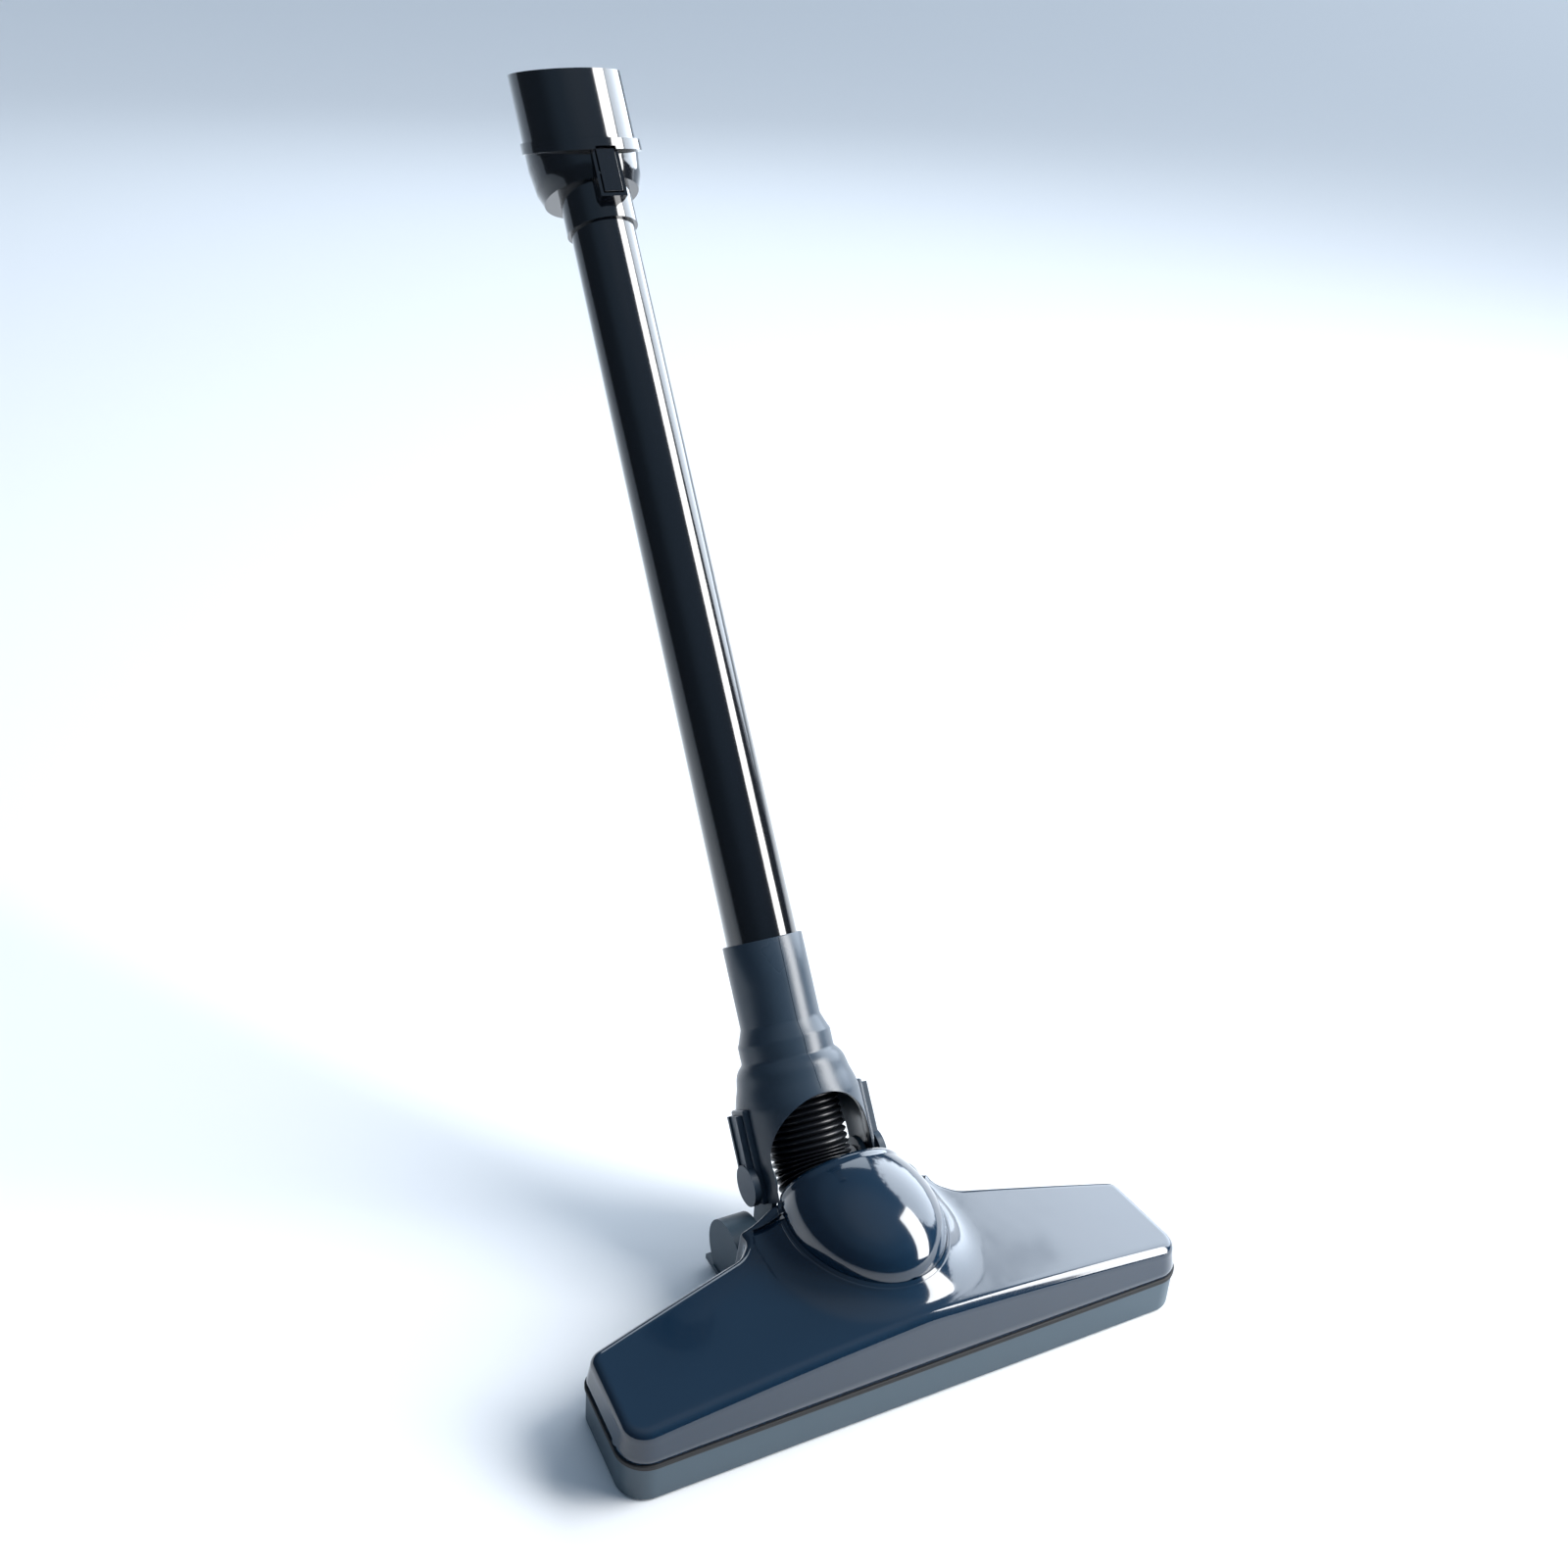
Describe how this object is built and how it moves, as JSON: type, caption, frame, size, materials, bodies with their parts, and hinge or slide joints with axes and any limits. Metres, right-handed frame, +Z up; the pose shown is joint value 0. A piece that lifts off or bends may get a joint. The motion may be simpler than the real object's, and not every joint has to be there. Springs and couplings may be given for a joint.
{
  "type": "vacuum floor head",
  "caption": "Floor head for a hand vacuum: wide low suction head with domed duct cover, bellows neck that tilts, tapered wand and a slant-mouthed adapter for the cleaner's inlet.",
  "frame": {"origin": "on the floor plane, mid-width, in the middle of the sole's front land", "axes": "+Z up, +X across the head to its right, +Y from the front edge to the rear; -Z is the outward normal of the sole"},
  "size_m": [0.2686, 0.4406, 0.4707],
  "materials": {
    "gloss_navy": "polished moulded ABS, dark blue-black",
    "satin_slate": "satin moulded plastic, slate grey-blue",
    "black_rubber": "soft black strip and seals",
    "gloss_black": "polished black tube and adapter",
    "sole_grey": "fine textured plastic",
    "bellows_black": "flexible black bellows",
    "bristle": "dense short black bristle",
    "lint_red": "one-way lint velvet",
    "steel": "turned steel",
    "wheel_grey": "moulded wheel hub",
    "tyre_soft": "soft wheel tyre",
    "duct_black": "unpolished black plastic"
  },
  "bodies": {
    "head": {"upper_shell": "gloss_navy", "duct_cover": "gloss_navy", "bumper_strip": "black_rubber", "base_body": "satin_slate", "sole_plate": "sole_grey", "front_bristles": "bristle", "rear_bristles": "bristle", "lint_pad_left": "lint_red", "lint_pad_right": "lint_red", "sole_screws": "steel", "air_duct": "duct_black", "duct_gasket": "black_rubber", "bellows": "bellows_black", "duct_cuff": "duct_black", "axle_left": "steel", "axle_right": "steel"},
    "neck": {"neck_socket": "satin_slate", "neck_ring": "duct_black", "wand_seal": "black_rubber", "pivot_clip_left": "satin_slate", "pivot_clip_right": "satin_slate"},
    "wand": {"wand": "gloss_black", "adapter": "gloss_black", "latch_pin": "steel", "latch_spring": "steel"},
    "latch": {"latch_button": "gloss_black"},
    "wheel_left": {"wheel_left": "wheel_grey", "tyre_left": "tyre_soft"},
    "wheel_right": {"wheel_right": "wheel_grey", "tyre_right": "tyre_soft"}
  },
  "joints": [
    {"name": "neck_tilt", "type": "hinge", "parent": "head", "child": "neck", "pos_m": [0, 0.0945, 0.0432], "axis": [1, 0, 0], "range_deg": [-45, 35], "deforming": ["bellows"]},
    {"name": "wand_twist", "type": "hinge", "parent": "neck", "child": "wand", "pos_m": [0, 0.14118, 0.10817], "axis": [0, 0.5835, 0.8121], "continuous": true},
    {"name": "latch_rock", "type": "hinge", "parent": "wand", "child": "latch", "pos_m": [0, 0.34609, 0.42948], "axis": [1, 0, 0], "range_deg": [-5, 0], "stiffness_Nm_per_rad": 0.05, "springref_deg": 1.15, "deforming": ["latch_spring"]},
    {"name": "wheel_left_spin", "type": "hinge", "parent": "head", "child": "wheel_left", "pos_m": [-0.0415, 0.0825, 0.0135], "axis": [1, 0, 0], "continuous": true},
    {"name": "wheel_right_spin", "type": "hinge", "parent": "head", "child": "wheel_right", "pos_m": [0.0415, 0.0825, 0.0135], "axis": [1, 0, 0], "continuous": true}
  ]
}
